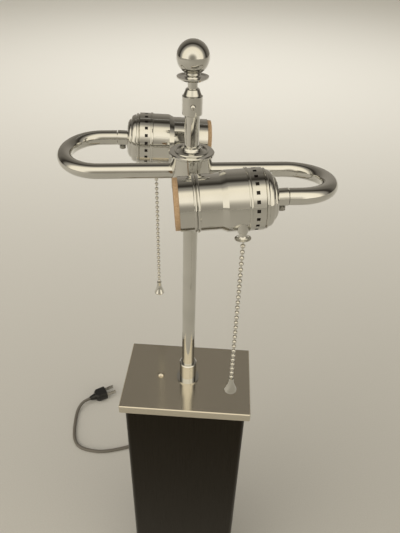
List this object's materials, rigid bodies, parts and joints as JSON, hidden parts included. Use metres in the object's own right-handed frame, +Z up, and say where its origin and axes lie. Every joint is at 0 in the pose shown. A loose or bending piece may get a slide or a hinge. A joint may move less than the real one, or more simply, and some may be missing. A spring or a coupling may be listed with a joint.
{
  "type": "table lamp",
  "caption": "Table lamp with a square-cornered steel column, a chrome stem, an S of bent arms with pull-chain sockets, and a sliding shade rod with a ball finial.",
  "frame": {"origin": "middle of the felt's underside, on the surface that the lamp stands on, below the stem", "axes": "+Z up along the stem, X along the column's wide side, +Y to the back where the cord leaves"},
  "size_m": [0.3045, 0.3466, 0.6417],
  "materials": {
    "chrome": "polished chrome plate",
    "column_steel": "dark gunmetal, brushed along the height",
    "plate_steel": "brushed nickel plate, satin",
    "screw_steel": "plain turned steel",
    "brass": "plain brass",
    "plug_blade": "nickel-plated brass",
    "fibre": "tan vulcanised fibre, matt",
    "phenolic": "dark moulded phenolic",
    "cast_iron": "raw casting",
    "felt": "black felt",
    "cord_vinyl": "grey vinyl jacket",
    "wire_vinyl": "black insulated wire",
    "plug_vinyl": "black moulded vinyl"
  },
  "bodies": {
    "base": {"felt_pad": "felt", "foot_plate": "plate_steel", "base_weight": "cast_iron", "column": "column_steel", "cap_plate": "plate_steel", "cap_stud": "plate_steel", "tie_pipe": "brass", "pipe_nuts": "brass", "pipe_washers": "screw_steel", "seat_ring": "chrome", "foot_collar": "chrome", "stem_tube": "chrome", "cluster_body": "chrome", "cluster_cap": "chrome", "front_arm": "chrome", "rear_arm": "chrome", "arm_nuts": "brass", "riser_tube": "chrome", "riser_sleeve": "chrome", "front_socket_cap": "chrome", "rear_socket_cap": "chrome", "front_shell": "chrome", "rear_shell": "chrome", "front_liner": "fibre", "rear_liner": "fibre", "front_screw_shell": "brass", "rear_screw_shell": "brass", "front_interior": "phenolic", "rear_interior": "phenolic", "front_contact": "brass", "rear_contact": "brass", "front_lever_pin": "screw_steel", "rear_lever_pin": "screw_steel", "front_chain_guide": "chrome", "rear_chain_guide": "chrome", "socket_set_screws": "screw_steel", "terminal_screws": "brass", "supply_lead": "cord_vinyl", "front_wire": "wire_vinyl", "rear_wire": "wire_vinyl", "cord_relief": "plug_vinyl", "cord_lead": "cord_vinyl", "cord_coil": "cord_vinyl", "coil_tie": "plug_vinyl", "cord_tail": "cord_vinyl", "plug_body": "plug_vinyl", "plug_blades": "plug_blade"},
    "shade_riser": {"shade_rod": "chrome", "shade_seat": "chrome"},
    "finial": {"finial": "chrome"},
    "lock_screw": {"lock_screw": "chrome"},
    "front_pull": {"front_upper_chain": "chrome"},
    "front_hanging_chain": {"front_chain": "chrome", "front_pull_bell": "chrome"},
    "front_switch": {"front_lever": "brass"},
    "rear_pull": {"rear_upper_chain": "chrome"},
    "rear_hanging_chain": {"rear_chain": "chrome", "rear_pull_bell": "chrome"},
    "rear_switch": {"rear_lever": "brass"}
  },
  "joints": [
    {"name": "rod_slide", "type": "slide", "parent": "base", "child": "shade_riser", "axis": [0, 0, 1], "range_m": [0, 0.025]},
    {"name": "finial_turn", "type": "hinge", "parent": "shade_riser", "child": "finial", "pos_m": [0, 0, 0.6238], "axis": [0, 0, 1], "continuous": true},
    {"name": "lock_screw_turn", "type": "hinge", "parent": "base", "child": "lock_screw", "pos_m": [0, 0, 0.6023], "axis": [0.1444, -0.9895, 0], "range_deg": [0, 360]},
    {"name": "front_pull_slide", "type": "slide", "parent": "base", "child": "front_pull", "axis": [0.0703, -0.0829, -0.9941], "range_m": [0, 0.0105], "stiffness_N_per_m": 600},
    {"name": "front_chain_swing", "type": "hinge", "parent": "front_pull", "child": "front_hanging_chain", "pos_m": [0.03712, -0.06307, 0.53593], "axis": [0.1496, -0.9887, 0], "range_deg": [-25, 25]},
    {"name": "front_switch_turn", "type": "hinge", "parent": "base", "child": "front_switch", "pos_m": [0.03337, -0.04722, 0.55934], "axis": [0.9871, 0.1494, 0.0573], "range_deg": [0, 43]},
    {"name": "rear_pull_slide", "type": "slide", "parent": "base", "child": "rear_pull", "axis": [-0.0703, 0.0829, -0.9941], "range_m": [0, 0.0105], "stiffness_N_per_m": 600},
    {"name": "rear_chain_swing", "type": "hinge", "parent": "rear_pull", "child": "rear_hanging_chain", "pos_m": [-0.03396, 0.06353, 0.53593], "axis": [-0.1496, 0.9887, 0], "range_deg": [-25, 25]},
    {"name": "rear_switch_turn", "type": "hinge", "parent": "base", "child": "rear_switch", "pos_m": [-0.0302, 0.04768, 0.55934], "axis": [-0.9871, -0.1494, 0.0573], "range_deg": [0, 43]}
  ],
  "couplings": [
    {"joint": "front_switch_turn", "follows": "front_pull_slide", "rad_per_m": 71.429},
    {"joint": "rear_switch_turn", "follows": "rear_pull_slide", "rad_per_m": 71.429}
  ]
}
